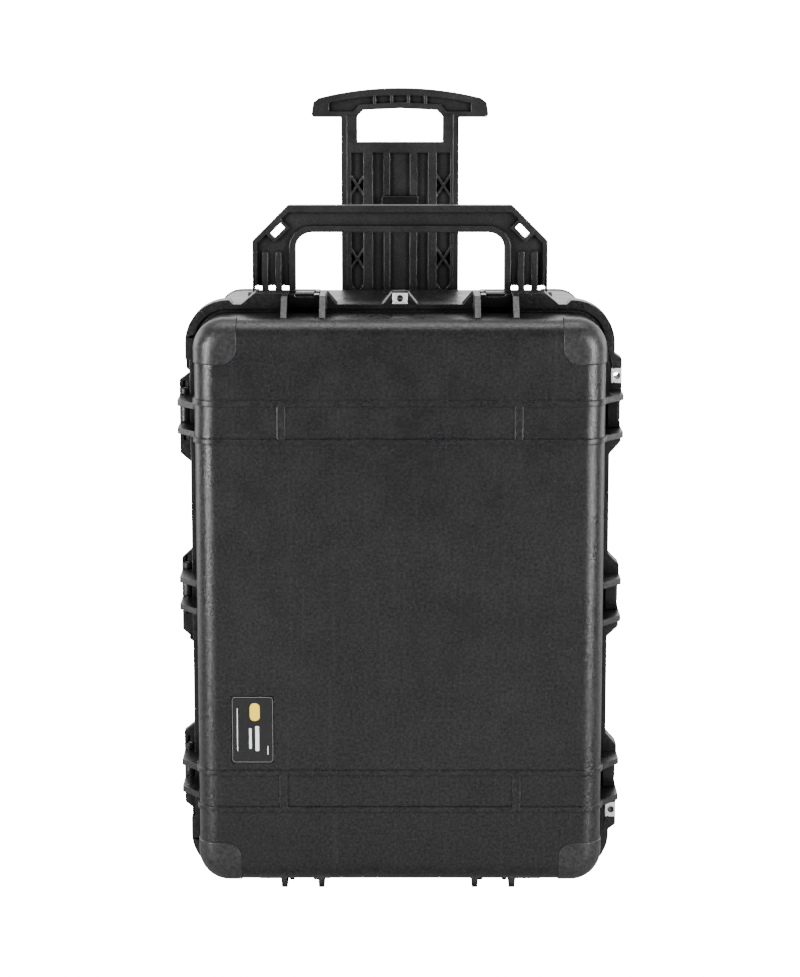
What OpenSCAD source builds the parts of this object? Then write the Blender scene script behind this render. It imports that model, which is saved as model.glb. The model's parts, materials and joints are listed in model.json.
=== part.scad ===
// Large upright rolling equipment case. Front is -Y, the wheels are at the back bottom edge, +Z is up.
// Profiles are drawn as [u, y]: u is the distance outward from the plain wall, y is the depth.

/* [Case] */
// Half the width of the plain lid wall
wall_x = 267.5; // [262:0.5:272]
// Half the height of the plain lid wall
wall_z = 377; // [372:0.5:380]
// Corner radius of the plain wall
corner_r = 40; // [36:1:46]
// Thickness of the moulded walls
wall_t = 5; // [4:0.5:6]
// Depth of the lid in front of the parting plane
lid_depth = 111; // [106:0.5:114]
// Radius of the lid's front edge
lid_edge_r = 28; // [22:1:32]

/* [Flange] */
// How far the ears stand out from the wall
ear_out = 26; // [25:0.5:26]
// How far the flange stands out between ears
lip_out = 11; // [10:0.5:12]
// How far the flange stands out at the corners
corner_out = 16.5; // [15:0.5:18]
// Depth of the lid's flange lip
lid_lip = 17; // [15:0.5:19]
// Depth of the base's flange
base_lip = 14; // [12:0.5:16]

/* [Latches and hinges] */
// Distance of a latch rib from the middle of its station
rib_at = 25; // [25:0.5:26]
// Thickness of a latch rib
rib_t = 8; // [7:0.5:8]
// Width of a latch
latch_w = 39; // [36:0.5:40]
// Distance of the hinge axis outward from the wall
hinge_u = 18; // [17.5:0.5:18]

/* [Handles and wheels] */
// Height of the grab handle's pivot above the floor
grab_z = 790; // [790:0.5:792]
// Half the width of the grab handle
grab_x = 198; // [194:1:200]
// Radius of a wheel
wheel_r = 37; // [34:0.5:38]
// Width of a tyre
tyre_w = 26; // [22:1:28]

/* [Hidden] */
$fn = 48;
plastic = "#353537";
dark = "#1d1d1f";
steel = "#c9cacc";
rubber = "#141414";

mid_z = wall_z + ear_out;             // middle height of the case, which stands on z = 0
side_z = mid_z - 2;                   // middle height of the fittings on the sides
rib_proud = 2.5;                      // height of the ribs on the lid's face
half_depth = 247.5;                   // half the depth of the whole case
part_y = rib_proud + lid_depth - half_depth; // the parting plane between lid and base
back_y = half_depth - 30;             // outer face of the back wall
base_depth = back_y - part_y;
gap = 0.3;                            // working gap between lid and base
run = 0.05;                           // radial clearance of a running pin

pivot_u = ear_out - 12;               // latch pivot, outward from the wall
pivot_y = 40;                         // latch pivot, behind the parting plane
pivot_r = 2.5;
pocket_u = pivot_u;                   // the flange stops here inside a latch station
lever_u = ear_out - 5.8;              // lever pin, outward from the wall
lever_y = -2;
lever_r = 2;
lever_knuckle = 5.3;
hinge_r = 3;
knuckle_r = ear_out - hinge_u;
hole_u = 19;                          // padlock hole, outward from the wall
hole_r = 4.4;
plate_u = 11.5;                       // inner edge of a padlock plate
plate_half = 10;

grab_y = part_y + 68;
grab_t = 20;
grab_pin_r = 4;
lug_t = 5;                            // thickness of a handle lug
lug_gap = 1.5;
leg_in = 140;                         // inner face of a handle leg
axle_r = 5;
wheel_y = half_depth - wheel_r;
axle_in = 150;
axle_out = 232;
trolley_y0 = back_y + 3.5;
trolley_t = 22;
stem_x = 84.5;                        // half the width of the trolley's stem

RIGHT = 0;
TOP = 1;
LEFT = 2;
BOTTOM = 3;
// name, side, place along the side from the middle of the case
LATCHES = [
    ["right_upper", RIGHT, 247], ["right_middle", RIGHT, 0], ["right_lower", RIGHT, -247],
    ["top_left", TOP, -126], ["top_right", TOP, 126],
    ["bottom_left", BOTTOM, -131], ["bottom_right", BOTTOM, 126]
];
HINGES = [246, 9, -242];
hinge_rib_v = 14.5;                   // inner face of a hinge rib, from the middle of its hinge
lip_step = 3;                         // depth of the step between the lid's flange and its wall
hinge_half = 31;                      // from the middle of a hinge to its end
knuckle_gap = 0.5;                    // between neighbouring knuckles, and round them
hinge_flat = 70;                      // the flange stays narrow this far from the middle of a hinge
HASPS = [[TOP, 0], [RIGHT, 295.5], [RIGHT, -300.5]];
// side, low end, high end, run of the low slope, run of the high slope
EARS = [
    [RIGHT, 207, 318, 17, 10], [RIGHT, -45, 40, 14, 15], [RIGHT, -322, -210, 11, 17],
    [LEFT, 189, 287, 13, 11], [LEFT, -53, 45, 13, 14], [LEFT, -295, -195, 12, 12],
    [TOP, 96, 191.5, 13, 18], [TOP, -191.5, -96, 18, 13], [TOP, -11, 11, 12, 12],
    [BOTTOM, 96, 191.5, 13, 18], [BOTTOM, -191.5, -96, 18, 13]
];
corner_x = 220;                       // the flange widens to its corner width from here
WHEELS = [
    ["left_outer", -1, 194.5], ["left_inner", -1, 161.5],
    ["right_inner", 1, 161.5], ["right_outer", 1, 194.5]
];

// ---- helpers ----

function arc(c, r, a0, a1, n = 6) =
    [for (i = [0:n]) c + r * [cos(a0 + (a1 - a0) * i / n), sin(a0 + (a1 - a0) * i / n)]];

// Puts a child drawn as [u, y, v] on one side of the case, at v along that side
module on_side(side, v = 0) {
    side_v = side_z - mid_z + v;
    translate([0, part_y, mid_z]) {
        if (side == RIGHT) translate([wall_x, 0, side_v]) children();
        if (side == LEFT) mirror([1, 0, 0]) translate([wall_x, 0, side_v]) children();
        if (side == TOP) rotate([0, -90, 0]) translate([wall_z, 0, -v]) children();
        if (side == BOTTOM) mirror([0, 0, 1]) rotate([0, -90, 0]) translate([wall_z, 0, -v]) children();
    }
}

// Extrudes a [u, y] profile between v0 and v1
module fin(v0, v1) {
    translate([0, 0, v0]) linear_extrude(v1 - v0) children();
}

// Sweeps a [u, y] profile round the plain wall's outline
module around() {
    translate([0, part_y, mid_z]) {
        for (mx = [0, 1], mz = [0, 1])
            mirror([mx, 0, 0]) mirror([0, 0, mz])
                translate([wall_x - corner_r, 0, corner_r - wall_z])
                    rotate([-90, 0, 0]) rotate_extrude(angle = 90) translate([corner_r, 0]) children();
        for (mx = [0, 1])
            mirror([mx, 0, 0]) translate([wall_x, 0, 0])
                linear_extrude(2 * (wall_z - corner_r), center = true) children();
        for (mz = [0, 1])
            mirror([0, 0, mz]) translate([0, 0, wall_z]) rotate([0, -90, 0])
                linear_extrude(2 * (wall_x - corner_r), center = true) children();
    }
}

// A slab between two depths measured from the parting plane, from a front-view outline
module slab(y0, y1) {
    translate([0, part_y + y1, mid_z]) rotate([90, 0, 0]) linear_extrude(y1 - y0) children();
}

// Front-view outline of the wall, moved outward by u
module wall_outline(u) {
    r = corner_r + u;
    square([2 * (wall_x + u), 2 * (wall_z + u - r)], center = true);
    square([2 * (wall_x + u - r), 2 * (wall_z + u)], center = true);
    for (sx = [-1, 1], sz = [-1, 1])
        translate([sx * (wall_x + u - r), sz * (wall_z + u - r)]) circle(r);
}

module side_2d(side) {
    if (side == RIGHT) translate([wall_x, side_z - mid_z]) children();
    if (side == LEFT) mirror([1, 0]) translate([wall_x, side_z - mid_z]) children();
    if (side == TOP) translate([0, wall_z]) rotate(90) mirror([0, 1]) children();
    if (side == BOTTOM) mirror([0, 1]) translate([0, wall_z]) rotate(90) mirror([0, 1]) children();
}

// One ear as [u, v], with sloped ends
module ear(e, out) {
    polygon([
        [lip_out - 1, e[1] - e[3]], [lip_out, e[1] - e[3]], [out, e[1]],
        [out, e[2]], [lip_out, e[2] + e[4]], [lip_out - 1, e[2] + e[4]]
    ]);
}

// The part of the front view where the flange is at its corner width
module corner_mask(x0, z0) {
    rise = 8;
    top = wall_z + lip_out;
    side = wall_x + lip_out;
    polygon([
        [x0, z0], [x0, top], [x0 + rise, top + rise], [x0 + rise, top + 2 * rise],
        [side + 2 * rise, top + 2 * rise], [side + 2 * rise, z0 + rise], [side + rise, z0 + rise],
        [side, z0]
    ]);
}

module flange_outline(bottom_out) {
    wall_outline(lip_out);
    for (e = EARS) side_2d(e[0]) ear(e, e[0] == BOTTOM ? bottom_out : ear_out);
    intersection() {
        wall_outline(corner_out);
        union() {
            corner_mask(corner_x, 318);
            mirror([0, 1]) corner_mask(corner_x, 318);
            mirror([1, 0]) corner_mask(corner_x, 296);
            mirror([1, 0]) mirror([0, 1]) corner_mask(corner_x, 300);
        }
    }
}

// Space inside each latch station that the flanges leave free
module station_clearance() {
    for (s = LATCHES)
        on_side(s[1], s[2]) translate([pocket_u, -30, gap - rib_at + rib_t / 2])
            cube([20, 100, 2 * (rib_at - gap) - rib_t]);
}

module pad_holes() {
    for (h = HASPS)
        on_side(h[0], h[1]) translate([hole_u, 30, 0]) rotate([90, 0, 0]) cylinder(r = hole_r, h = 60);
}

module hinge_box(v0, v1, y0, y1, u0 = hinge_u - knuckle_r - knuckle_gap) {
    for (z = HINGES, m = [0, 1])
        on_side(LEFT, z) mirror([0, 0, m]) translate([u0, y0, v0]) cube([40, y1 - y0, v1 - v0]);
}

module hinge_bores(r) {
    for (z = HINGES)
        on_side(LEFT, z) translate([hinge_u, 0, -40]) cylinder(r = r, h = 80);
}

module hinge_knuckles(v0, v1) {
    for (z = HINGES, m = [0, 1])
        on_side(LEFT, z) mirror([0, 0, m]) fin(v0, v1) {
            translate([hinge_u, 0]) circle(knuckle_r);
            polygon([[hinge_u, knuckle_r], [4, 22], [4, 0.2], [hinge_u, 0.2]]);
        }
}

// ---- base ----

base_edge_r = 20;
base_draft = 8;                       // how much narrower each side of the base is at its back
tongue_u = 4;                         // middle of the base's sealing tongue, outward from the wall
tongue_half = 1.2;
groove_half = 2.5;                    // half the width of the lid's groove round that tongue
seal_half = 2;
rib_line_w = 7;                       // width of the ribs round the middle of the shells
fitting_z = 247;                      // those ribs run level with the upper and lower side fittings
base_rib_proud = 2;                   // height of the ribs on the base's walls
base_rib_end_x = 150;                 // those ribs end here on the back wall
eps = 0.1;                            // overlap that keeps joined shapes and cuts clean

module base_wall_profile() {
    c = [-base_draft - base_edge_r, base_depth - base_edge_r];
    polygon(concat(
        [[-wall_t, gap], [0, gap]],
        arc(c, base_edge_r, 0, 90),
        arc(c, base_edge_r - wall_t, 90, 0)
    ));
}

module base_rib_profile() {
    polygon([
        [-4, gap], [ear_out, gap], [ear_out, base_lip], [ear_out - 5, pivot_y + 6],
        [ear_out - 10, pivot_y + 11], [-4, pivot_y + 18]
    ]);
}

module handle_lugs() {
    lug_r = 8;
    foot_z = mid_z + wall_z - 6;
    for (s = [-1, 1], x = [grab_x + lug_gap + lug_t / 2, leg_in - lug_gap - lug_t / 2])
        translate([s * x, grab_y, 0]) rotate([0, 0, 90]) rotate([90, 0, 0])
            linear_extrude(lug_t, center = true) {
                translate([0, grab_z]) circle(lug_r);
                translate([-1.5 * lug_r, foot_z]) square([3 * lug_r, 8]);
                translate([-lug_r, foot_z]) square([2 * lug_r, grab_z - foot_z]);
            }
}

module wheel_pockets(grow) {
    for (m = [0, 1])
        mirror([m, 0, 0]) translate([axle_in - 8 - grow, wheel_y - wheel_r - 8 - grow, -1])
            cube([axle_out - axle_in + 16 + 2 * grow, 2 * wheel_r + 20, 2 * wheel_r + 11 + grow]);
}

module base_body() {
    around() base_wall_profile();
    slab(base_depth - wall_t, base_depth) wall_outline(-base_draft - base_edge_r);
    difference() {
        slab(gap, base_lip) flange_outline(ear_out);
        slab(-1, base_lip + 1) wall_outline(-2);
        station_clearance();
    }
    slab(-1.3, gap) difference() {
        wall_outline(tongue_u + tongue_half);
        wall_outline(tongue_u - tongue_half);
    }
    for (s = LATCHES, m = [0, 1])
        on_side(s[1], s[2]) mirror([0, 0, m])
            fin(rib_at - rib_t / 2, rib_at + rib_t / 2) base_rib_profile();
    for (z = HINGES, m = [0, 1])
        on_side(LEFT, z) mirror([0, 0, m]) fin(hinge_rib_v, hinge_rib_v + rib_t) base_rib_profile();
    handle_lugs();
    base_side_ribs();
}

// Half cross-section of the base's outer wall, moved outward by u, as [x, y]
module base_section(u) {
    c = [wall_x - base_draft - base_edge_r, base_depth - base_edge_r];
    polygon(concat(
        [[20, base_lip], [wall_x + u, base_lip]],
        arc(c, base_edge_r + u, 0, 90),
        [[20, base_depth + u]]
    ));
}

module base_side_ribs() {
    for (z = [fitting_z, -fitting_z], s = [-1, 1], m = [0, 1])
        mirror([m, 0, 0]) translate([0, part_y, side_z + z + s * rib_at - rib_line_w / 2])
            linear_extrude(rib_line_w)
                difference() {
                    base_section(base_rib_proud);
                    base_section(-1);
                    translate([0, base_depth - wall_t]) square([base_rib_end_x, 4 * wall_t]);
                }
}

module base_shell() {
    color(plastic) difference() {
        union() {
            difference() {
                base_body();
                hinge_box(-eps, hinge_half + knuckle_gap, -12, knuckle_r + 2);
            }
            hinge_knuckles(-eps, hinge_rib_v - knuckle_gap);
            hinge_knuckles(hinge_rib_v + rib_t + knuckle_gap, hinge_half);
            intersection() {
                wheel_pockets(wall_t);
                translate([0, part_y, mid_z]) rotate([-90, 0, 0])
                    linear_extrude(base_depth - 3) wall_outline(-wall_t - base_draft + 1);
            }
        }
        wheel_pockets(0);
        hinge_bores(hinge_r);
        pad_holes();
        for (s = LATCHES)
            on_side(s[1], s[2]) translate([pivot_u, pivot_y, -40]) cylinder(r = pivot_r, h = 80);
        for (s = [-1, 1])
            translate([s * (leg_in + grab_x) / 2, grab_y, grab_z]) rotate([0, 90, 0])
                cylinder(r = grab_pin_r, h = 90, center = true);
        translate([valve_x, valve_y, mid_z + wall_z - 12]) cylinder(r = valve_r, h = 20);
    }
}

module hinge_pins() {
    color(steel) for (z = HINGES)
        on_side(LEFT, z) translate([hinge_u, 0, -hinge_half]) cylinder(r = hinge_r, h = 2 * hinge_half);
}

module latch_base_pins() {
    color(steel) for (s = LATCHES)
        on_side(s[1], s[2]) translate([pivot_u, pivot_y, -rib_at - rib_t / 2])
            cylinder(r = pivot_r, h = 2 * rib_at + rib_t);
}

module hasp_plate(y0) {
    difference() {
        translate([plate_u, y0, -plate_half]) cube([ear_out - plate_u, 2, 2 * plate_half]);
        translate([hole_u, y0 + 10, 0]) rotate([90, 0, 0]) cylinder(r = hole_r, h = 20);
        for (m = [0, 1])
            mirror([0, 0, m]) translate([plate_u + 3, y0 - 1, plate_half - 1.2]) cube([1.6, 4, 2]);
    }
}

module hasp_plates_base() {
    color(steel) for (h = HASPS) on_side(h[0], h[1]) hasp_plate(base_lip);
}

module handle_pins() {
    color(steel) for (s = [-1, 1])
        translate([s * (leg_in + grab_x) / 2, grab_y, grab_z]) rotate([0, 90, 0])
            cylinder(r = grab_pin_r, h = grab_x - leg_in + 2 * (lug_gap + lug_t), center = true);
}

valve_x = 62;
valve_y = part_y + 32;
valve_r = 6;
valve_head_t = 2;

module valve_body() {
    nut_t = 3;
    nut_low = -wall_t - 4.6;
    color(dark) translate([valve_x, valve_y, mid_z + wall_z]) {
        cylinder(r = 13, h = valve_head_t);
        translate([0, 0, -wall_t - 6]) cylinder(r = valve_r, h = wall_t + 7);
        translate([0, 0, nut_low]) cylinder(r = 9, h = nut_t);
    }
}

module valve_cap() {
    color(plastic) translate([valve_x, valve_y, mid_z + wall_z + valve_head_t]) difference() {
        cylinder(r = 11, h = 2);
        for (a = [0:60:300]) rotate(a) translate([8, 0, -1]) cylinder(r = 1.2, h = 4, $fn = 24);
    }
}

// ---- lid ----

label_x = -194.5;
label_z = 238;
label_w = 55;
label_h = 90;
label_t = 0.8;

module lid_wall_profile() {
    c = [-lid_edge_r, lid_edge_r - lid_depth];
    polygon(concat(
        [[-wall_t, 0], [0, 0]],
        arc(c, lid_edge_r, 0, -90, 10),
        arc(c, lid_edge_r - wall_t, -90, 0, 10)
    ));
}

rib_nose = -54;                       // front end of a rib's outer edge
rib_slope = 30;

module lid_rib_profile(out) {
    polygon([
        [-3, 0], [out, 0], [out, rib_nose], [1, rib_nose - rib_slope], [-3, rib_nose - rib_slope]
    ]);
}

// A rib that ends in a hinge knuckle and stays clear of the base as the lid opens
module hinge_rib_profile() {
    translate([hinge_u, 0]) circle(knuckle_r);
    polygon([
        [-3, 0], [hinge_u, 0], [hinge_u, -2], [ear_out - 1, -knuckle_r - 1], [ear_out - 1, rib_nose],
        [1, rib_nose - rib_slope], [-3, rib_nose - rib_slope]
    ]);
}

// Front half of a cross-section through the lid, moved outward by u, as [x, y]
module lid_section(u) {
    c = [wall_x - lid_edge_r, lid_edge_r - lid_depth];
    right = arc(c, lid_edge_r + u, 0, -90, 10);
    left = [for (i = [len(right) - 1:-1:0]) [-right[i][0], right[i][1]]];
    polygon(concat([[wall_x + u, -lid_lip]], right, left, [[-wall_x - u, -lid_lip]]));
}

module face_ribs() {
    short_x = 154;
    short_w = 10;
    for (z = [fitting_z, -fitting_z], s = [-1, 1]) {
        translate([0, part_y, side_z + z + s * rib_at - rib_line_w / 2]) linear_extrude(rib_line_w)
            difference() {
                lid_section(rib_proud);
                lid_section(-1);
            }
        translate([s * short_x - short_w / 2, part_y - lid_depth - rib_proud, side_z + z - rib_at])
            cube([short_w, rib_proud + 1, 2 * rib_at]);
    }
}

module lid_shell() {
    color(plastic) difference() {
        union() {
            around() lid_wall_profile();
            slab(-lid_depth, wall_t - lid_depth) wall_outline(-lid_edge_r);
            face_ribs();
            difference() {
                union() {
                    difference() {
                        slab(-lid_lip, 0) flange_outline(ear_out - 1.5);
                        slab(-lid_lip - 1, 1) wall_outline(lip_out - 6.5);
                    }
                    slab(lip_step - lid_lip, 0) difference() {
                        wall_outline(lip_out - 3);
                        wall_outline(-2);
                    }
                }
                station_clearance();
                hinge_box(-eps, hinge_flat, -40, 1, lip_out);
                hinge_box(-eps, hinge_half + knuckle_gap, -knuckle_r - 1, 1);
            }
            for (s = LATCHES, m = [0, 1])
                on_side(s[1], s[2]) mirror([0, 0, m])
                    fin(rib_at - rib_t / 2, rib_at + rib_t / 2)
                        lid_rib_profile(s[1] == BOTTOM ? ear_out - 1.5 : ear_out);
            for (z = HINGES, m = [0, 1])
                on_side(LEFT, z) mirror([0, 0, m])
                    fin(hinge_rib_v, hinge_rib_v + rib_t) hinge_rib_profile();
        }
        slab(-4, 1) difference() {
            wall_outline(tongue_u + groove_half);
            wall_outline(tongue_u - groove_half);
        }
        hinge_bores(hinge_r + run);
        pad_holes();
        translate([label_x, part_y - lid_depth, label_z])
            cube([label_w + 1, label_t + 0.4, label_h + 1], center = true);
    }
}

module lid_seal() {
    color(rubber) slab(-3.9, -1.7) difference() {
        wall_outline(tongue_u + seal_half);
        wall_outline(tongue_u - seal_half);
    }
}

module hasp_plates_lid() {
    color(steel) for (h = HASPS) on_side(h[0], h[1]) hasp_plate(-lid_lip - 2);
}

module nameplate() {
    color("black") translate([label_x, part_y - lid_depth + 0.2, label_z])
        cube([label_w, label_t, label_h], center = true);
}

// ---- latches, drawn at their station as [u, y, v] ----

half_w = latch_w / 2;
hook_y = -lid_lip - gap;              // inner face of the hook, just in front of the lid's lip
arm_u0 = ear_out - 9.5;               // inner and outer face of the latch arm
arm_u1 = ear_out - 5;
hook_u = ear_out - 18;
lever_half = 12.3;                    // half the width of the lever between the arm's cheeks
lever_slot = lever_half + 0.5;
knuckle_slot_r = lever_knuckle + 0.8;

module latch_arm() {
    color(dark) difference() {
        union() {
            fin(-half_w, half_w) {
                translate([arm_u0, hook_y - 4]) square([arm_u1 - arm_u0, pivot_y - hook_y + 4]);
                translate([hook_u, hook_y - 5]) square([arm_u1 - hook_u, 5]);
                translate([pivot_u, pivot_y]) circle(6);
                translate([pivot_u, pivot_y - 6]) square([arm_u1 - pivot_u - 1, 8]);
            }
            for (m = [0, 1]) mirror([0, 0, m]) fin(lever_slot + 0.2, half_w)
                translate([arm_u0, hook_y - 5]) square([ear_out - 1.8 - arm_u0, 10 - hook_y]);
        }
        translate([pivot_u, pivot_y, -40]) cylinder(r = pivot_r + run, h = 80);
        translate([lever_u, lever_y, -40]) cylinder(r = lever_r, h = 80);
        translate([lever_u, lever_y, -lever_slot]) cylinder(r = knuckle_slot_r, h = 2 * lever_slot);
        translate([arm_u0 - 9, lever_y - knuckle_slot_r, -lever_slot])
            cube([12, 2 * knuckle_slot_r, 2 * lever_slot]);
    }
}

module latch_lever() {
    color(dark) difference() {
        union() {
            fin(-lever_half, lever_half) {
                translate([lever_u, lever_y]) circle(lever_knuckle);
                translate([arm_u1 + 0.6, lever_y]) square([ear_out - arm_u1 - 1.1, 14]);
            }
            fin(-half_w, half_w)
                polygon([
                    [arm_u1 + 0.6, 8], [ear_out - 0.5, 8], [ear_out - 0.5, pivot_y - 4],
                    [ear_out - 2.5, pivot_y + 6], [arm_u1 + 0.6, pivot_y + 6]
                ]);
        }
        translate([lever_u, lever_y, -40]) cylinder(r = lever_r + run, h = 80);
        translate([ear_out + 6, pivot_y - 8, -12]) cylinder(r = 7.4, h = 24);
    }
}

module latch_pin() {
    color(steel) translate([lever_u, lever_y, -half_w]) cylinder(r = lever_r, h = latch_w);
}

// ---- grab handle ----

bar_top = 915;
bar_low = 879;
chamfer = 48;
inner_round = 22;
top_rim = 9.5;
side_rim = 6;
inner_rim = 8.5;
grab_web = 7;                         // thickness of the middle of the handle
leg_rib_r = 3.6;
window_pitch = 18;
window_w = 10.5;
windows_x = 172;                      // middle one of the three windows in a leg
leg_window = [798, 807];              // lowest and highest point of a window
leg_rib_top = 850;

module grab_outer() {
    polygon([
        [-grab_x, grab_z], [-grab_x, bar_top - chamfer], [chamfer - grab_x, bar_top],
        [grab_x - chamfer, bar_top], [grab_x, bar_top - chamfer], [grab_x, grab_z]
    ]);
}

module grab_opening(grow) {
    centre_x = leg_in - inner_round;
    centre_z = bar_low - inner_round;
    translate([-leg_in - grow, grab_z - 1]) square([2 * (leg_in + grow), centre_z - grab_z + 1]);
    translate([-centre_x, grab_z - 1]) square([2 * centre_x, bar_low + grow - grab_z + 1]);
    for (s = [-1, 1]) translate([s * centre_x, centre_z]) circle(inner_round + grow);
}

module grab_slot(grow) {
    for (m = [0, 1])
        mirror([m, 0]) translate([grab_x - 34, bar_top - 34]) rotate(45)
            square([9 + 2 * grow, 20 + 2 * grow], center = true);
}

module grab_slab(t) {
    translate([0, grab_y + t / 2, 0]) rotate([90, 0, 0]) linear_extrude(t) children();
}

// Front view of the hollows between the handle's rims
module grab_core() {
    difference() {
        intersection() {
            translate([0, -top_rim]) grab_outer();
            translate([-side_rim, 0]) grab_outer();
            translate([side_rim, 0]) grab_outer();
        }
        grab_opening(inner_rim);
    }
}

module leg_windows() {
    round_r = 3;
    for (s = [-1, 1], k = [-1, 0, 1])
        translate([s * windows_x + k * window_pitch, 0]) {
            translate([-window_w / 2, leg_window[0]])
                square([window_w, leg_window[1] - leg_window[0] - round_r]);
            translate([round_r - window_w / 2, leg_window[0]])
                square([window_w - 2 * round_r, leg_window[1] - leg_window[0]]);
            for (c = [-1, 1])
                translate([c * (window_w / 2 - round_r), leg_window[1] - round_r]) circle(round_r);
        }
}

module leg_ribs() {
    for (s = [-1, 1], k = [-0.5, 0.5])
        translate([s * windows_x + k * window_pitch, 0]) {
            translate([-leg_rib_r, grab_z]) square([2 * leg_rib_r, leg_rib_top - grab_z]);
            translate([0, leg_rib_top]) circle(leg_rib_r);
        }
}

module grab_handle() {
    color(plastic) difference() {
        union() {
            grab_slab(grab_web) difference() {
                grab_outer();
                grab_opening(0);
            }
            grab_slab(grab_t) difference() {
                grab_outer();
                grab_opening(0);
                grab_core();
            }
            grab_slab(grab_t) difference() {
                grab_slot(4);
                grab_slot(0);
            }
            grab_slab(grab_t - 3) leg_ribs();
            for (s = [-1, 1])
                translate([s * (grab_x + leg_in) / 2, grab_y, grab_z]) rotate([0, 90, 0])
                    cylinder(r = grab_t / 2, h = grab_x - leg_in, center = true);
        }
        grab_slab(2 * grab_t) grab_slot(0);
        grab_slab(2 * grab_t) leg_windows();
        for (s = [-1, 1])
            translate([s * (grab_x + leg_in) / 2, grab_y, grab_z]) rotate([0, 90, 0])
                cylinder(r = grab_pin_r + run, h = 2 * (grab_x - leg_in), center = true);
    }
}

// ---- trolley ----

arm_low = 1018;                       // underside of the grip
t_bar_x = 127;                        // half the length of the grip
stem_low = 390;
window_low = 982;
window_x = 61.5;                      // half the width of the finger window
crown_z = 1059;                       // top of the grip at its middle
bar_end_z = 1042;                     // and at its ends
grip_r = 5;                           // rounding at the ends of the grip
bar_arc_r = (t_bar_x * t_bar_x + (crown_z - bar_end_z) * (crown_z - bar_end_z)) / (2 * (crown_z - bar_end_z));
column_top = 967;
lattice_top = 938;
lattice = 52.8;                       // pitch of the crossed ribs in the outer columns
catch_x = 26.6;
catch_z = 885;
catch_proud = 2.8;
catch_h = 40;
catch_lip = 0.7;                      // thickness of its cap inside the panel's face
catch_gap = 0.6;
catch_stem = [39.2, 29.2];            // width and height of the part inside the trolley
catch_stem_gap = 0.4;
pocket_x = 102;                       // half the length of the pocket in the grip
pocket_rim = 10;                      // width of the grip's rim above that pocket
pocket_rib = 4.2;                     // thickness of the ribs across it
panel_x = 76.5;                       // half the width of the sunk panel in the stem
panel_sunk = 1.2;
column_sunk = 8;
// left edge and width of each sunk column in the trolley's panel
COLUMNS = [[-70.5, 17.7], [-39.6, 16.4], [-14.4, 28.6], [24.2, 16.5], [52.8, 19.9]];

module t_bar_outline() {
    span = asin((t_bar_x - 2 * grip_r) / bar_arc_r);
    polygon(concat(
        arc([0, crown_z - bar_arc_r], bar_arc_r, 90 + span, 90 - span, 16),
        arc([t_bar_x - grip_r - 2, bar_end_z - grip_r - 1], grip_r, 75, 5),
        arc([t_bar_x - grip_r, arm_low + grip_r], grip_r, 0, -90),
        arc([grip_r - t_bar_x, arm_low + grip_r], grip_r, -90, -180),
        arc([2 + grip_r - t_bar_x, bar_end_z - grip_r - 1], grip_r, 175, 105)
    ));
}

// Shallow pocket along the front of the grip, crossed by short ribs
module t_bar_pocket() {
    span = asin(pocket_x / (bar_arc_r - pocket_rim));
    foot = arm_low + 8;
    side = window_x + 4.5;
    difference() {
        polygon(concat(
            arc([0, crown_z - bar_arc_r], bar_arc_r - pocket_rim, 90 + span, 90 - span, 16),
            [[pocket_x, foot], [side, foot], [side - 8, foot + 10], [0, foot + 13],
             [8 - side, foot + 10], [-side, foot], [-pocket_x, foot]]
        ));
        for (x = [-36.5, -12, 12, 36.5])
            translate([x - pocket_rib / 2, arm_low]) square([pocket_rib, crown_z - arm_low]);
    }
}

module trolley_slab(y0, y1) {
    translate([0, y1, 0]) rotate([90, 0, 0]) linear_extrude(y1 - y0) children();
}

// Window above the panel, with the cut corners of its top
module finger_window() {
    polygon([
        [-window_x, window_low], [window_x, window_low], [window_x, arm_low + 1],
        [window_x - 8.5, arm_low + 10], [0, arm_low + 12.5], [8.5 - window_x, arm_low + 10],
        [-window_x, arm_low + 1]
    ]);
}

module lattice_ribs(low) {
    for (c = [COLUMNS[0], COLUMNS[4]]) intersection() {
        for (k = [0:9], s = [-1, 1])
            translate([c[0] + c[1] / 2, trolley_y0 + 5.5, 920 - k * lattice]) rotate([0, s * 35, 0])
                cube([3.4, 6, 60], center = true);
        translate([c[0] - 1, trolley_y0 + 2, low]) cube([c[1] + 2, 8, lattice_top - low]);
    }
}

module catch_hole(size) {
    translate([-size[0] / 2, trolley_y0 - 1, catch_z - size[2] / 2]) cube(size);
}

module trolley_handle() {
    y0 = trolley_y0;
    y1 = trolley_y0 + trolley_t;
    column_low = stem_low + 20;
    color(plastic) difference() {
        trolley_slab(y0, y1) {
            t_bar_outline();
            translate([-stem_x, stem_low]) square([2 * stem_x, arm_low + 6 - stem_low]);
        }
        trolley_slab(y0 - 1, y1 + 1) finger_window();
        trolley_slab(y0 - 1, y0 + 6) t_bar_pocket();
        translate([-panel_x, y0 - 1, column_low - 10])
            cube([2 * panel_x, panel_sunk + 1, arm_low - column_low + 13]);
        for (c = COLUMNS)
            translate([c[0], y0 - 1, column_low]) cube([c[1], column_sunk + 1, column_top - column_low]);
        catch_hole([2 * (catch_x + catch_gap), 5, catch_h + 2 * catch_gap]);
        catch_hole([catch_stem[0] + 2 * catch_stem_gap, 18, catch_stem[1] + 2 * catch_stem_gap]);
    }
    color(plastic) lattice_ribs(column_low);
}

module trolley_catch() {
    color(dark) translate([0, trolley_y0, catch_z]) {
        translate([-catch_stem[0] / 2, 0, -catch_stem[1] / 2]) cube([catch_stem[0], 12, catch_stem[1]]);
        translate([-catch_x, -catch_proud, -catch_h / 2])
            cube([2 * catch_x, catch_proud + catch_lip, catch_h]);
    }
}

rail_top = 722;
rail_low = 95;

rail_w = 14;
slide_gap = 0.5;

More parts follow.
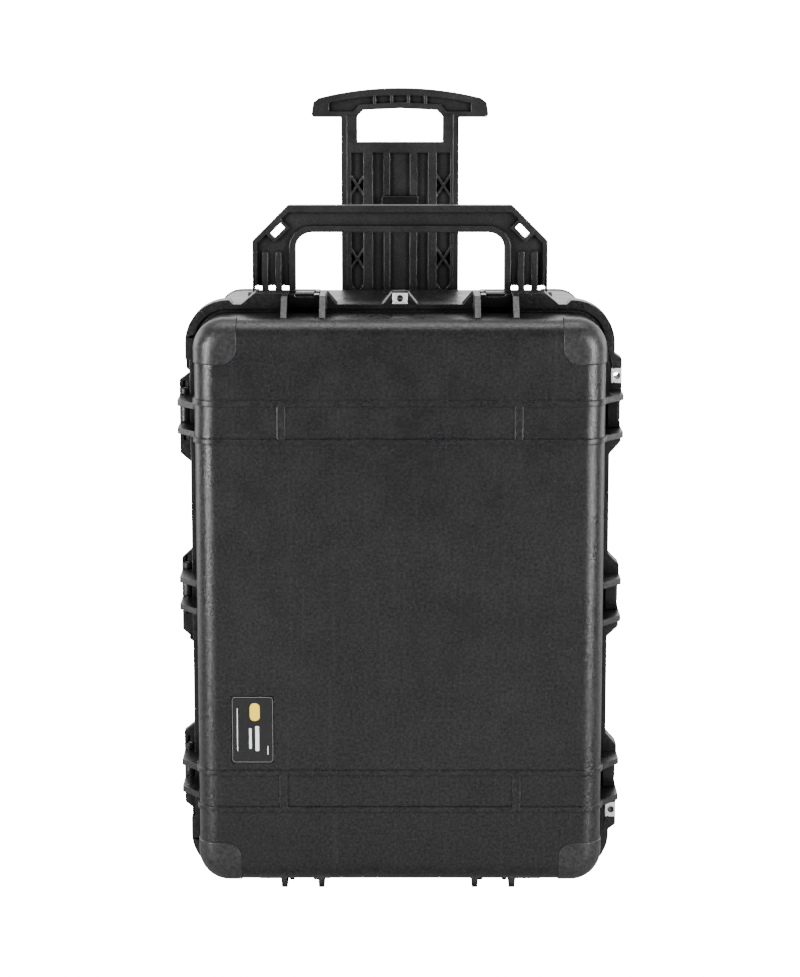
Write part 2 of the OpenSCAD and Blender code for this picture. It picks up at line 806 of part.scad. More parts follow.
module trolley_channel() {
    y1 = trolley_y0 + trolley_t;
    rail_h = rail_top - rail_low;
    depth = half_depth - back_y;
    color(plastic) {
        for (m = [0, 1]) mirror([m, 0, 0]) {
            translate([stem_x + 0.6, back_y, rail_low]) cube([rail_w, depth, rail_h]);
            translate([stem_x - 12, y1 + slide_gap, rail_low])
                cube([rail_w, half_depth - y1 - slide_gap, rail_h]);
            translate([stem_x - 12, back_y, rail_low])
                cube([rail_w, trolley_y0 - slide_gap - back_y, rail_h]);
        }
        translate([-stem_x - rail_w, back_y, rail_low - 20]) cube([2 * (stem_x + rail_w), depth, 20]);
    }
}

module channel_screws() {
    color(steel) for (m = [0, 1], z = [130:145:710])
        mirror([m, 0, 0]) translate([stem_x + 0.6 + rail_w / 2, back_y, z]) rotate([-90, 0, 0])
            translate([0, 0, 1 - wall_t]) cylinder(r = 2, h = 20);
}

// ---- wheels ----

module wheel_housing(m) {
    color(dark) mirror([m, 0, 0]) difference() {
        union() {
            for (x = [axle_in - 7.5, axle_out + 1.5])
                translate([x, wheel_y - wheel_r - 4, 22]) cube([6, 2 * wheel_r, 2 * wheel_r - 17]);
            translate([axle_in - 7.5, wheel_y - wheel_r - 7.5, 22])
                cube([axle_out - axle_in + 15, 4, 2 * wheel_r - 17]);
            translate([axle_in - 7.5, wheel_y - wheel_r - 7.5, 2 * wheel_r + 4.5])
                cube([axle_out - axle_in + 15, 2 * wheel_r + 3, 4.5]);
        }
        translate([axle_in - 20, wheel_y, wheel_r]) rotate([0, 90, 0])
            cylinder(r = axle_r, h = 120);
    }
}

module wheel_axles() {
    color(steel) for (m = [0, 1])
        mirror([m, 0, 0]) translate([axle_in - 7, wheel_y, wheel_r]) rotate([0, 90, 0])
            cylinder(r = axle_r, h = axle_out - axle_in + 14);
}

module wheel_at(w) {
    mirror([w[1] < 0 ? 1 : 0, 0, 0]) translate([w[2], wheel_y, wheel_r]) rotate([0, 90, 0]) children();
}

hub_r = 26;
hub_web_r = 22;
bearing_r = 8;

module tyre(w) {
    color(rubber) wheel_at(w) rotate_extrude(angle = 360) difference() {
        polygon([
            [hub_r, 0], [wheel_r - 3, 0], [wheel_r, 4], [wheel_r, tyre_w - 4],
            [wheel_r - 3, tyre_w], [hub_r, tyre_w]
        ]);
        translate([wheel_r - 1, tyre_w / 2 - 1]) square([4, 2]);
    }
}

module hub(w) {
    color(plastic) wheel_at(w) difference() {
        union() {
            difference() {
                cylinder(r = hub_r, h = tyre_w);
                translate([0, 0, -1]) cylinder(r = hub_web_r, h = 9);
                translate([0, 0, tyre_w - 8]) cylinder(r = hub_web_r, h = 9);
            }
            cylinder(r = 11, h = tyre_w);
            for (a = [0:60:300]) rotate(a) translate([9, -1.5, 2]) cube([14, 3, tyre_w - 4]);
        }
        translate([0, 0, -1]) cylinder(r = bearing_r, h = tyre_w + 2);
    }
}

module bearing(w) {
    color(steel) wheel_at(w) translate([0, 0, -1]) difference() {
        cylinder(r = bearing_r, h = tyre_w + 2);
        translate([0, 0, -1]) cylinder(r = axle_r + run, h = tyre_w + 4);
    }
}

// ---- nodes ----

base_shell();
hinge_pins();
latch_base_pins();
hasp_plates_base();
handle_pins();
valve_body();
valve_cap();
wheel_housing(1);  // wheel_housing_left
wheel_housing(0);  // wheel_housing_right
wheel_axles();
trolley_channel();
channel_screws();
lid_shell();
lid_seal();
hasp_plates_lid();
nameplate();
for (s = LATCHES) {
    on_side(s[1], s[2]) latch_arm();
    on_side(s[1], s[2]) latch_lever();
    on_side(s[1], s[2]) latch_pin();
}
grab_handle();
trolley_handle();
trolley_catch();
for (w = WHEELS) {
    tyre(w);
    hub(w);
    bearing(w);
}
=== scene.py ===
import json
import math
from collections import namedtuple

import bmesh
import bpy
from mathutils import Matrix, Vector


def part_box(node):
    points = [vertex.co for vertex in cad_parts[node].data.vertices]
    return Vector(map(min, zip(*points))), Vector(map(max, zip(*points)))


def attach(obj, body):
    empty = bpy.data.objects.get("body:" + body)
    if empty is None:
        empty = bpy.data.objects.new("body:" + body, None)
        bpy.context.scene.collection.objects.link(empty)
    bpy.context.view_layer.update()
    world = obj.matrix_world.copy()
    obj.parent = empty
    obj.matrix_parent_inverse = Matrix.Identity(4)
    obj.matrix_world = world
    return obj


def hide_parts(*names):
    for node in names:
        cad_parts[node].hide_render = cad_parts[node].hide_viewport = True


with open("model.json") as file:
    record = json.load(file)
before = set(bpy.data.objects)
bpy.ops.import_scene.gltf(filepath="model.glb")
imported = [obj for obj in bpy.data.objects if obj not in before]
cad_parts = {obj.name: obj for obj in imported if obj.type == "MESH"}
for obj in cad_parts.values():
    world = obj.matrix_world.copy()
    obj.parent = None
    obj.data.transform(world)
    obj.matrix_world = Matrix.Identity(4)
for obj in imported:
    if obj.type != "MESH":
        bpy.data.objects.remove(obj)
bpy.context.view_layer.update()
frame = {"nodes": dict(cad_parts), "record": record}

NODES = frame["nodes"]
MM = 0.001

# ---- places taken from the CAD frame ----

LID_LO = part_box("lid_shell")[0]
BASE_LO, BASE_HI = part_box("base_shell")
PLATE_LO, PLATE_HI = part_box("nameplate")
EAR_OUT = 26 * MM                   # how far the flange's ears stand out from the plain wall
RIB_PROUD = 2.5 * MM                # how far the ribs stand out from the lid's face
WALL_X = BASE_HI.x - EAR_OUT
WALL_TOP = BASE_HI.z - EAR_OUT
WALL_LOW = BASE_LO.z + EAR_OUT
FACE_Y = LID_LO.y + RIB_PROUD
CHANNEL_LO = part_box("trolley_channel")[0]
BACK_Y = CHANNEL_LO.y               # outer face of the base's back wall
BASE_DRAFT = 8 * MM                 # how much narrower each side of the base is at its back
BASE_EDGE_R = 20 * MM               # rounding between the back wall and the base's other walls
CORNER_R = 40 * MM                  # corner radius of the plain wall, seen from the front
EDGE_R = 28 * MM                    # rounding between the lid's face and its walls


# ---- materials ----

def new_material(name):
    mat = bpy.data.materials.new(name)
    mat.use_nodes = True
    tree = mat.node_tree
    shader = tree.nodes["Principled BSDF"]
    return mat, tree, shader


def node(tree, kind, **values):
    made = tree.nodes.new(kind)
    for key, value in values.items():
        if hasattr(made, key):
            setattr(made, key, value)
        else:
            made.inputs[key.replace("_", " ")].default_value = value
    return made


def object_coords(tree, scale=(1, 1, 1)):
    coords = node(tree, "ShaderNodeTexCoord")
    mapping = node(tree, "ShaderNodeMapping")
    mapping.inputs["Scale"].default_value = scale
    tree.links.new(coords.outputs["Object"], mapping.inputs["Vector"])
    return mapping.outputs["Vector"]


def noise(tree, vector, scale, detail=3.0, roughness=0.55):
    made = node(tree, "ShaderNodeTexNoise", Scale=scale, Detail=detail, Roughness=roughness)
    tree.links.new(vector, made.inputs["Vector"])
    return made.outputs["Fac"]


def ramp(tree, value, stops):
    """A colour ramp with stops of (position, grey or colour)."""
    made = node(tree, "ShaderNodeValToRGB")
    elements = made.color_ramp.elements
    while len(elements) < len(stops):
        elements.new(0.5)
    for element, (place, colour) in zip(elements, stops):
        element.position = place
        if isinstance(colour, (int, float)):
            colour = (colour, colour, colour)
        element.color = (*colour, 1)
    tree.links.new(value, made.inputs["Fac"])
    return made.outputs["Color"]


def mix(tree, kind, factor, first, second):
    made = node(tree, "ShaderNodeMix", data_type="RGBA", blend_type=kind)
    for socket, value in ((made.inputs[0], factor), (made.inputs[6], first), (made.inputs[7], second)):
        if isinstance(value, bpy.types.NodeSocket):
            tree.links.new(value, socket)
        else:
            socket.default_value = value
    return made.outputs[2]


def bump(tree, height, strength, distance, below=None):
    made = node(tree, "ShaderNodeBump", Strength=strength, Distance=distance)
    tree.links.new(height, made.inputs["Height"])
    if below:
        tree.links.new(below, made.inputs["Normal"])
    return made.outputs["Normal"]


def moulded(name, dark, light, rough, gloss=0.4, grain=900, depth=0.0002, strength=0.4, mottle=0.12,
            scuffs=0.0, reach=0.02, recess=0.3):
    """Moulded plastic: a fine stipple, millimetre mottling, cloudy gloss and faint upright scuffs.

    Painted shade: what lies in a hollow narrower than reach (in metres) falls to the share recess of its
    gloss, dimmed from ambient occlusion.
    """
    mat, tree, shader = new_material(name)
    where = object_coords(tree)
    cloud = noise(tree, where, 9, 5)
    fine = noise(tree, where, grain, 2)
    patchy = noise(tree, where, grain / 3.5, 4, 0.7)
    colour = ramp(tree, cloud, [(0.2, dark), (0.85, light)])
    speck = ramp(tree, patchy, [(0.35, 1 - mottle), (0.65, 1 + mottle)])
    colour = mix(tree, "MULTIPLY", 1.0, colour, speck)
    # painted shade: ambient occlusion dims the gloss in narrow hollows
    open_air = node(tree, "ShaderNodeAmbientOcclusion", Distance=reach).outputs["AO"]
    gloss_with_painted_shade = ramp(tree, open_air, [(0.3, gloss * recess), (0.9, gloss)])
    tree.links.new(mix(tree, "MULTIPLY", 1.0, gloss_with_painted_shade, speck), shader.inputs["Specular IOR Level"])
    if scuffs:
        streaks = noise(tree, object_coords(tree, (190, 190, 3)), 1, 4)
        mask = ramp(tree, streaks, [(0.6, 0.0), (0.78, scuffs)])
        colour = mix(tree, "ADD", mask, colour, (0.012, 0.012, 0.013, 1))
    tree.links.new(colour, shader.inputs["Base Color"])
    sheen = ramp(tree, noise(tree, where, 26, 5), [(0.3, rough - 0.05), (0.7, rough + 0.06)])
    tree.links.new(sheen, shader.inputs["Roughness"])
    grainy = bump(tree, fine, strength, depth)
    tree.links.new(bump(tree, patchy, strength * 0.5, depth * 1.5, grainy), shader.inputs["Normal"])
    return mat


def steel(name):
    """Satin steel with fine drawn lines."""
    mat, tree, shader = new_material(name)
    shader.inputs["Metallic"].default_value = 1
    brushed = noise(tree, object_coords(tree, (60, 60, 2500)), 1, 3)
    colour = ramp(tree, brushed, [(0.3, (0.80, 0.80, 0.81)), (0.7, (0.95, 0.95, 0.96))])
    tree.links.new(colour, shader.inputs["Base Color"])
    tree.links.new(ramp(tree, brushed, [(0.3, 0.42), (0.7, 0.55)]), shader.inputs["Roughness"])
    tree.links.new(bump(tree, brushed, 0.15, 0.00005), shader.inputs["Normal"])
    return mat


def ink(name, colour):
    """Printed ink with a faint screen-print grain."""
    mat, tree, shader = new_material(name)
    grain = noise(tree, object_coords(tree), 1500, 2)
    darker = tuple(0.82 * channel for channel in colour)
    tree.links.new(ramp(tree, grain, [(0.35, darker), (0.65, colour)]), shader.inputs["Base Color"])
    tree.links.new(ramp(tree, grain, [(0.3, 0.3), (0.7, 0.42)]), shader.inputs["Roughness"])
    return mat


# recess sets how far the painted shade dims each moulded material's gloss in hollows
MATERIALS = {
    "case_plastic": moulded("case_plastic", (0.0045, 0.0045, 0.0049), (0.0078, 0.0078, 0.0084), 0.29,
                            depth=0.0005, strength=0.6, mottle=0.3, scuffs=0.35, recess=0.15),
    "handle_plastic": moulded("handle_plastic", (0.004, 0.004, 0.0044), (0.0075, 0.0075, 0.008), 0.34,
                              gloss=0.5, grain=1300, depth=0.0002, mottle=0.2, recess=0.05),
    "latch_plastic": moulded("latch_plastic", (0.004, 0.004, 0.0044), (0.0065, 0.0065, 0.007), 0.2,
                             gloss=0.3, grain=1800, depth=0.00004, strength=0.25, recess=0.1),
    "steel": steel("steel"),
    "seal_rubber": moulded("seal_rubber", (0.008, 0.008, 0.008), (0.012, 0.012, 0.012), 0.7),
    "tyre": moulded("tyre", (0.012, 0.012, 0.012), (0.019, 0.019, 0.019), 0.6, grain=600),
    "label": moulded("label", (0.006, 0.006, 0.0065), (0.008, 0.008, 0.0085), 0.25, depth=0.00003,
                     strength=0.15, mottle=0.05),
}
PAD_PLASTIC = moulded("pad_plastic", (0.009, 0.009, 0.0095), (0.017, 0.017, 0.018), 0.38, grain=700,
                      depth=0.0004, strength=0.6, mottle=0.3)
GATE_PLASTIC = moulded("gate_plastic", (0.003, 0.003, 0.0033), (0.005, 0.005, 0.0054), 0.45, gloss=0.25,
                       grain=500)
PALE_INK = ink("pale_ink", (0.75, 0.75, 0.74))
YELLOW_INK = ink("yellow_ink", (0.85, 0.58, 0.02))
LINE_INK = ink("line_ink", (0.16, 0.16, 0.165))


# ---- CAD nodes that are shown ----

EDGE = {                            # edge rounding in mm; other nodes get SMALL_EDGE where it fits
    "lid_shell": 0.9, "base_shell": 0.5, "grab_handle": 0.8, "trolley_handle": 0.8,
    "trolley_catch": 1.0,
}
SMALL_EDGE = 0.6


def smooth(mesh):
    """Shades a CAD mesh smoothly, without the flat normals that it came with."""
    if mesh.has_custom_normals:
        mesh.attributes.remove(mesh.attributes["custom_normal"])
    mesh.shade_smooth()


def round_edges(obj, name):
    """Rounds a CAD node's sharp edges by a small radius, with modifiers only."""
    weld = obj.modifiers.new("weld", "WELD")
    weld.merge_threshold = 0.00001
    edge = obj.modifiers.new("edge", "BEVEL")
    edge.width = EDGE.get(name, SMALL_EDGE) * MM
    edge.use_clamp_overlap = name not in EDGE
    edge.segments = 3
    edge.limit_method = "ANGLE"
    edge.angle_limit = math.radians(32)
    edge.miter_outer = "MITER_SHARP"
    normals = obj.modifiers.new("normals", "WEIGHTED_NORMAL")
    normals.keep_sharp = False
    normals.weight = 60


def dress_cad():
    for part in frame["record"]["subparts"]:
        obj = NODES[part["node"]]
        obj.data.materials.clear()
        obj.data.materials.append(MATERIALS[part["material_slot"]])
        smooth(obj.data)
        round_edges(obj, part["node"])


# ---- mesh helpers ----

def add_piece(name, mesh, material, body):
    obj = bpy.data.objects.new(name, mesh)
    bpy.context.scene.collection.objects.link(obj)
    mesh.materials.append(material)
    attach(obj, body)
    return obj


def bevel(obj, width, segments=2):
    edge = obj.modifiers.new("edge", "BEVEL")
    edge.width = width
    edge.segments = segments
    edge.limit_method = "ANGLE"
    edge.angle_limit = math.radians(32)


def round_rect(w, h, r, steps=6):
    """Points of a rectangle with rounded corners, as (across, up), anticlockwise."""
    points = []
    for quarter in range(4):
        turn = math.pi / 2 * quarter
        cx = (w / 2 - r) * (1 if quarter in (0, 3) else -1)
        cz = (h / 2 - r) * (1 if quarter in (0, 1) else -1)
        for k in range(steps + 1):
            a = turn + math.pi / 2 * k / steps
            points.append((cx + r * math.cos(a), cz + r * math.sin(a)))
    return points


def bars(name, boxes, width, material, body):
    """Low moulded bars in one piece; each box is (low corner, high corner), its edges rounded by width."""
    mesh = bpy.data.meshes.new(name)
    bm = bmesh.new()
    for low, high in boxes:
        middle = (Vector(low) + Vector(high)) / 2
        size = Vector(high) - Vector(low)
        bmesh.ops.create_cube(bm, size=1.0, matrix=Matrix.Translation(middle) @ Matrix.Diagonal((*size, 1)))
    bm.to_mesh(mesh)
    bm.free()
    piece = add_piece(name, mesh, material, body)
    bevel(piece, width, 3)


def face_plate(name, centre, size, r, y_front, thick, material, hole=None):
    """A plate of the label on the lid's face; hole is the width of the rim left round a cut-out."""
    mesh = bpy.data.meshes.new(name)
    bm = bmesh.new()
    outer = round_rect(size[0], size[1], r)
    rows = [[(x, z, y_front) for x, z in outer], [(x, z, y_front + thick) for x, z in outer]]
    if hole:
        inner = round_rect(size[0] - 2 * hole, size[1] - 2 * hole, r - hole)
        rows += [[(x, z, y_front + thick) for x, z in inner], [(x, z, y_front) for x, z in inner]]
    loops = [[bm.verts.new((centre[0] + x, y, centre[1] + z)) for x, z, y in row] for row in rows]
    count = len(outer)
    joined = list(zip(loops, loops[1:] + loops[:1])) if hole else [(loops[0], loops[1])]
    for first, second in joined:
        for k in range(count):
            n = (k + 1) % count
            bm.faces.new((first[k], second[k], second[n], first[n]))
    if not hole:
        bm.faces.new(loops[0])
        bm.faces.new(loops[1][::-1])
    bmesh.ops.recalc_face_normals(bm, faces=bm.faces)
    bm.to_mesh(mesh)
    bm.free()
    return add_piece(name, mesh, material, "lid")


def lathe(bm, profile, place, axis, steps=28):
    """Adds a turned shape to bm: profile is (radius, along) from the axis, closed at both ends."""
    turn = Vector(axis).to_track_quat("Z", "X").to_matrix().to_4x4()
    matrix = Matrix.Translation(Vector(place)) @ turn
    rings = []
    for radius, along in profile:
        angles = [math.tau * k / steps for k in range(steps)]
        rings.append([bm.verts.new(matrix @ Vector((radius * math.cos(a), radius * math.sin(a), along)))
                      for a in angles])
    for first, second in zip(rings, rings[1:]):
        for k in range(steps):
            n = (k + 1) % steps
            bm.faces.new((first[k], first[n], second[n], second[k]))
    bm.faces.new(rings[0][::-1])
    bm.faces.new(rings[-1])


# ---- corner pads ----

PAD_SPAN = 57 * MM                  # how far a pad reaches in from the wall, both ways
PAD_R = 22 * MM                     # radius of its inner corner
PAD_PROUD = 1.4 * MM
PAD_SKIRT = 5 * MM                  # how far it runs along the wall
PAD_SUNK = 0.3 * MM                 # how deep its rim runs into the shell
PAD_RIM = 1.6 * MM                  # width of the rounded rim
PAD_THICK = 1.6 * MM

# x and z of the walls that meet at a corner, y of the face, which way the case lies from that face,
# radius of the corner, rounding between the face and the walls, and the body the pad rides on
PadSite = namedtuple("PadSite", "x z face inward corner_r edge_r body")


def pad_steps(site):
    """Distances in from the wall, closer together round the shell's edge and at the pad's rim."""
    steps = 12
    curved = [site.edge_r * (1 - math.cos(math.pi / 2 * k / steps)) for k in range(steps + 1)]
    inner = PAD_SPAN - PAD_R
    flat = [site.edge_r + (inner - site.edge_r) * k / 2 for k in (1, 2)]
    last = [inner + (PAD_R - 1.5 * PAD_RIM) * k / 6 for k in range(1, 7)]
    rim = [PAD_SPAN - gap * MM for gap in (1.6, 1.0, 0.5, 0)]
    return curved + flat + last + rim


def to_arc(a, b):
    """Maps a unit square to a quarter disc, keeping its two inner sides in place."""
    return a * math.sqrt(1 - b * b / 2), b * math.sqrt(1 - a * a / 2)


def pad_point(site, a, b, proud):
    """A point on the shell's surface, a in from the side wall and b in from the top or bottom wall."""
    inner = PAD_SPAN - PAD_R
    if a > inner and b > inner:
        across, down = to_arc((a - inner) / PAD_R, (b - inner) / PAD_R)
        a, b = inner + across * PAD_R, inner + down * PAD_R
    outward = Vector((1, 0)) if a < b else Vector((0, 1))
    depth = min(a, b)
    if a < site.corner_r and b < site.corner_r:
        outward = Vector(to_arc(1 - a / site.corner_r, 1 - b / site.corner_r))
        depth = site.corner_r * (1 - outward.length)
        a, b = site.corner_r * (1 - outward.x), site.corner_r * (1 - outward.y)
        outward = outward.normalized()
    lean = max(0.0, 1 - depth / site.edge_r)
    forward = math.sqrt(max(0.0, 1 - lean * lean))
    x = -a + outward.x * lean * proud
    z = -b + outward.y * lean * proud
    y = site.edge_r * (1 - forward) - forward * proud
    return x, y, z


def corner_pad(name, site, side, up):
    steps = pad_steps(site)
    count = len(steps)
    mesh = bpy.data.meshes.new(name)
    bm = bmesh.new()
    rim_from = PAD_SPAN - PAD_RIM

    def vertex(a, b, back=0.0, sunk=0.0):
        edge = max(0.0, (max(a, b) - rim_from) / (PAD_SPAN - rim_from))
        proud = PAD_PROUD - edge * edge * (PAD_PROUD + PAD_SUNK) - sunk
        x, y, z = pad_point(site, a, b, proud)
        return bm.verts.new((site.x + side * x, site.face + site.inward * (y + back), site.z + up * z))

    grid = [[vertex(a, b) for b in steps] for a in steps]
    for i in range(count - 1):
        for j in range(count - 1):
            bm.faces.new((grid[i][j], grid[i + 1][j], grid[i + 1][j + 1], grid[i][j + 1]))
    outline = [(0, j) for j in range(count - 1, 0, -1)] + [(i, 0) for i in range(count)]
    rows = [[grid[i][j] for i, j in outline]]
    for back, sunk in ((PAD_SKIRT, 0), (PAD_SKIRT + 1 * MM, PAD_PROUD + PAD_SUNK)):
        rows.append([vertex(steps[i], steps[j], back, sunk) for i, j in outline])
    for first, second in zip(rows, rows[1:]):
        for k in range(len(outline) - 1):
            bm.faces.new((first[k], second[k], second[k + 1], first[k + 1]))
    bmesh.ops.recalc_face_normals(bm, faces=bm.faces)
    if site.inward * sum(face.normal.y for face in bm.faces) > 0:
        bmesh.ops.reverse_faces(bm, faces=bm.faces)
    for face in bm.faces:
        face.smooth = True
    bm.to_mesh(mesh)
    bm.free()
    pad = add_piece(name, mesh, PAD_PLASTIC, site.body)
    shell = pad.modifiers.new("shell", "SOLIDIFY")
    shell.thickness = PAD_THICK
    shell.offset = -1


def make_pads():
    """Four pads on the lid's corners, and two on the base's upper back corners."""
    for side, across in ((-1, "left"), (1, "right")):
        for up, wall, height in ((-1, WALL_LOW, "bottom"), (1, WALL_TOP, "top")):
            site = PadSite(side * WALL_X, wall, FACE_Y, 1, CORNER_R, EDGE_R, "lid")
            corner_pad("corner_pad_" + height + "_" + across, site, side, up)
        site = PadSite(side * (WALL_X - BASE_DRAFT), WALL_TOP - BASE_DRAFT, BACK_Y, -1,
                       CORNER_R - BASE_DRAFT, BASE_EDGE_R, "base")
        corner_pad("back_pad_" + across, site, side, 1)


# ---- ribs at the back ----

BACK_BAR_X = 66 * MM                # middle of the outer upright ribs
BACK_BAR_W = 5 * MM
BACK_BAR_PITCH = 70 * MM
BACK_BAR_PROUD = 2 * MM
BACK_BAR_SUNK = 1 * MM
BACK_BAR_EDGE = 0.9 * MM
CROSS_LOWER = 0.3 * MM              # the cross ribs stand this much lower than the upright ones
STEM_LOW_GAP = 12 * MM              # from the stem's ends to its ribs
STEM_TOP_GAP = 92 * MM
CHANNEL_GAP = 30 * MM
WALL_RIB_LAP = 150 * MM             # the wall's ribs end this far up behind the stem, below the catch


def rib_grid(low_z, high_z, front, back):
    """Boxes of four upright ribs and the cross ribs that join them."""
    half = BACK_BAR_W / 2
    boxes = [((x * BACK_BAR_X - half, front, low_z), (x * BACK_BAR_X + half, back, high_z))
             for x in (-1, -1 / 3, 1 / 3, 1)]
    rows = round((high_z - low_z) / BACK_BAR_PITCH)
    for k in range(rows + 1):
        z = low_z + half + (high_z - low_z - 2 * half) * k / rows
        boxes.append(((-BACK_BAR_X, front, z - half), (BACK_BAR_X, back - CROSS_LOWER, z + half)))
    return boxes


def make_back_ribs():
    handle_lo, handle_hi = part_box("trolley_handle")
    stem = rib_grid(handle_lo.z + STEM_LOW_GAP, handle_hi.z - STEM_TOP_GAP, handle_hi.y - BACK_BAR_SUNK,
                    handle_hi.y + BACK_BAR_PROUD)
    bars("stem_ribs", stem, BACK_BAR_EDGE, MATERIALS["handle_plastic"], "trolley")
    wall = rib_grid(CHANNEL_LO.z + CHANNEL_GAP, handle_lo.z + WALL_RIB_LAP, BACK_Y - BACK_BAR_SUNK,
                    BACK_Y + BACK_BAR_PROUD)
    bars("back_wall_ribs", wall, BACK_BAR_EDGE, MATERIALS["case_plastic"], "base")


# ---- finger ridges on the latch levers ----

LEVERS = {                          # outward direction of each lever
    "right_upper": "x", "right_middle": "x", "right_lower": "x", "top_left": "z", "top_right": "z",
    "bottom_left": "-z", "bottom_right": "-z",
}
RIDGE_STEPS = (24, 30, 36)          # mm from the lever's back end to each ridge
RIDGE_W = 2.2 * MM
RIDGE_PROUD = 0.4 * MM
RIDGE_INSET = 5 * MM
RIDGE_EDGE = 0.35 * MM


def ridge_box(lo, hi, y, outward):
    """The box of one ridge across the outer face of a lever whose own box is lo to hi."""
    if outward == "x":
        return ((hi.x - RIDGE_W, y, lo.z + RIDGE_INSET),
                (hi.x + RIDGE_PROUD, y + RIDGE_W, hi.z - RIDGE_INSET))
    low, high = hi.z - RIDGE_W, hi.z + RIDGE_PROUD
    if outward == "-z":
        low, high = lo.z - RIDGE_PROUD, lo.z - RIDGE_PROUD + RIDGE_W
    return (lo.x + RIDGE_INSET, y, low), (hi.x - RIDGE_INSET, y + RIDGE_W, high)


def make_lever_ridges():
    for name, outward in LEVERS.items():
        lo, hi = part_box("latch_lever_" + name)
        boxes = [ridge_box(lo, hi, hi.y - step * MM, outward) for step in RIDGE_STEPS]
        bars("lever_ridges_" + name, boxes, RIDGE_EDGE, MATERIALS["latch_plastic"], "lever_" + name)


# ---- label and moulding mark ----

def make_label():
    """A plain label: a yellow bar and pale bars stand for its printing, with no lettering."""
    centre = ((PLATE_LO.x + PLATE_HI.x) / 2, (PLATE_LO.z + PLATE_HI.z) / 2)
    size = (PLATE_HI.x - PLATE_LO.x, PLATE_HI.z - PLATE_LO.z)
    front = PLATE_LO.y
    plate = face_plate("label_plate", centre, size, 5 * MM, front, 0.6 * MM, MATERIALS["label"])
    bevel(plate, 0.15 * MM)
    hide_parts("nameplate")
    thin = 0.08 * MM
    margin = 0.7 * MM
    face_plate("label_outline", centre, (size[0] - 2 * margin, size[1] - 2 * margin), 4.4 * MM,
               front - thin, 2 * thin, LINE_INK, hole=0.5 * MM)
    printing = [                    # across, up, width, height, corner radius, ink
        ("label_yellow_bar", 3, 24, 13, 24, 6, YELLOW_INK),
        ("label_bar_wide", 6, -12, 5, 34, 1.2, PALE_INK),
        ("label_bar_narrow", -3, -12, 3.4, 28, 1.0, PALE_INK),
        ("label_line_left", -20, 0, 1.1, 58, 0.5, PALE_INK),
        ("label_line_right", 20, -28, 1.1, 12, 0.5, PALE_INK),
    ]
    for name, across, up, w, h, r, paint in printing:
        face_plate(name, (centre[0] + across * MM, centre[1] + up * MM), (w * MM, h * MM), r * MM,
                   front - thin, 2 * thin, paint)


MARK_Z = 648 * MM
MARK_R = 7 * MM
MARK_PROUD = 0.2 * MM


def make_gate_mark():
    """The faint round mark left where the lid's mould was filled, between its upper ribs."""
    mesh = bpy.data.meshes.new("gate_mark")
    bm = bmesh.new()
    profile = [(MARK_R, -0.3 * MM), (MARK_R, 0.08 * MM), (MARK_R - 0.4 * MM, MARK_PROUD),
               (1 * MM, MARK_PROUD)]
    lathe(bm, profile, (0, FACE_Y, MARK_Z), (0, -1, 0))
    bm.to_mesh(mesh)
    bm.free()
    add_piece("gate_mark", mesh, GATE_PLASTIC, "lid")


# ---- stage ----

ROOM_STRENGTH = 2.4
ROOM_DARK = 0.05                    # share of that light that comes from the front
BACKDROP_STRENGTH = 24.0            # seen by the camera only
FLOOR_GLOW = 21.0                   # seen by the camera only
FLOOR_REACH = 40                    # metres from the middle to each edge


def area_light(name, place, aim, size, power):
    data = bpy.data.lights.new(name, "AREA")
    data.shape = "RECTANGLE"
    data.size, data.size_y = size
    data.energy = power
    light = bpy.data.objects.new(name, data)
    light.location = place
    light.rotation_euler = (Vector(aim) - Vector(place)).to_track_quat("-Z", "Y").to_euler()
    bpy.context.scene.collection.objects.link(light)


def for_camera(tree, seen, unseen):
    """The camera sees one shader, and everything that is lit or mirrored gets the other."""
    both = node(tree, "ShaderNodeMixShader")
    tree.links.new(node(tree, "ShaderNodeLightPath").outputs["Is Camera Ray"], both.inputs[0])
    tree.links.new(unseen, both.inputs[1])
    tree.links.new(seen, both.inputs[2])
    return both.outputs[0]


def make_world():
    """A room with a bright wall behind the case, dim from above and dark in front of it."""
    world = bpy.data.worlds.new("world")
    world.use_nodes = True
    tree = world.node_tree
    shade = tree.nodes["Background"]
    split = node(tree, "ShaderNodeSeparateXYZ")
    tree.links.new(node(tree, "ShaderNodeTexCoord").outputs["Generated"], split.inputs[0])
    tree.links.new(ramp(tree, split.outputs["Y"], [(0.0, ROOM_DARK), (0.55, 0.35), (0.95, 1.0)]),
                   shade.inputs["Color"])
    shade.inputs["Strength"].default_value = ROOM_STRENGTH
    backdrop = node(tree, "ShaderNodeBackground", Strength=BACKDROP_STRENGTH)
    tree.links.new(for_camera(tree, backdrop.outputs[0], shade.outputs[0]),
                   tree.nodes["World Output"].inputs["Surface"])
    bpy.context.scene.world = world


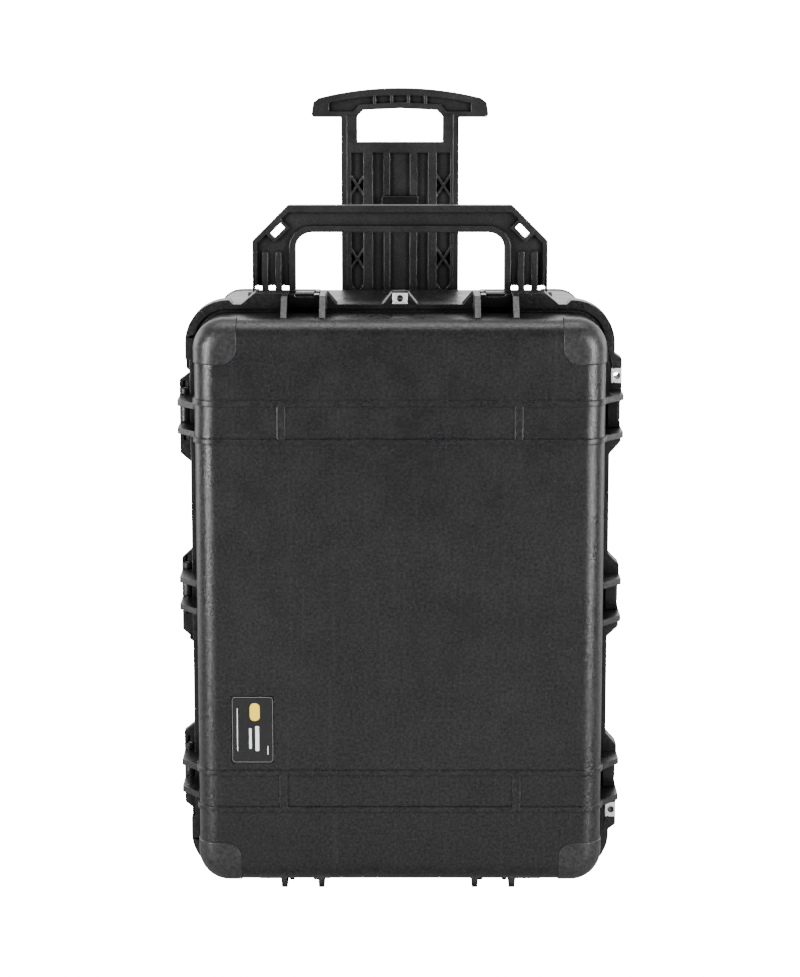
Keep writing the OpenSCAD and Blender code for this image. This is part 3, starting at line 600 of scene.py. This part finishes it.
def make_floor():
    """A pale floor that glows to the camera only, so that it does not light the case from below."""
    mesh = bpy.data.meshes.new("floor")
    mesh.from_pydata([(-FLOOR_REACH, -FLOOR_REACH, 0), (FLOOR_REACH, -FLOOR_REACH, 0),
                      (FLOOR_REACH, FLOOR_REACH, 0), (-FLOOR_REACH, FLOOR_REACH, 0)], [], [(0, 1, 2, 3)])
    floor = bpy.data.objects.new("floor", mesh)
    bpy.context.scene.collection.objects.link(floor)
    mat, tree, shader = new_material("floor")
    shader.inputs["Base Color"].default_value = (0.95, 0.95, 0.95, 1)
    shader.inputs["Roughness"].default_value = 1.0
    shader.inputs["Specular IOR Level"].default_value = 0.0
    shader.inputs["Emission Color"].default_value = (1, 1, 1, 1)
    shader.inputs["Emission Strength"].default_value = FLOOR_GLOW
    dull = node(tree, "ShaderNodeBsdfDiffuse", Color=(0.4, 0.4, 0.4, 1))
    tree.links.new(for_camera(tree, shader.outputs[0], dull.outputs[0]),
                   tree.nodes["Material Output"].inputs["Surface"])
    mesh.materials.append(mat)


def make_lights():
    area_light("above", (0, -0.1, 3.2), (0, -0.1, 0.5), (2.6, 0.8), 60)
    area_light("front", (0, -3.6, 2.3), (0, -0.2, 0.6), (3.2, 0.3), 5)
    for name, side in (("left", -1), ("right", 1)):
        area_light(name, (side * 2.3, -2.2, 0.9), (0, -0.2, 0.45), (0.3, 2.0), 190)
        area_light(name + "_back", (side * 2.2, 0.9, 0.9), (0, 0, 0.45), (1.2, 2.0), 35)


LENS = 101.15                       # mm, for a film 36 mm wide
FILM_W = 36
PITCH = 10.4                        # degrees below level
CAMERA_PLACE = (0, -3.7505, 1.205)


def make_camera():
    """The camera sits on the case's middle line, looking slightly down, with a long lens."""
    data = bpy.data.cameras.new("camera")
    data.lens = LENS
    data.sensor_width = FILM_W
    camera = bpy.data.objects.new("camera", data)
    camera.location = CAMERA_PLACE
    camera.rotation_euler = (math.radians(90 - PITCH), 0, 0)
    bpy.context.scene.collection.objects.link(camera)
    bpy.context.scene.camera = camera


make_camera()
make_world()
make_floor()
make_lights()
dress_cad()
make_pads()
make_back_ribs()
make_lever_ridges()
make_label()
make_gate_mark()
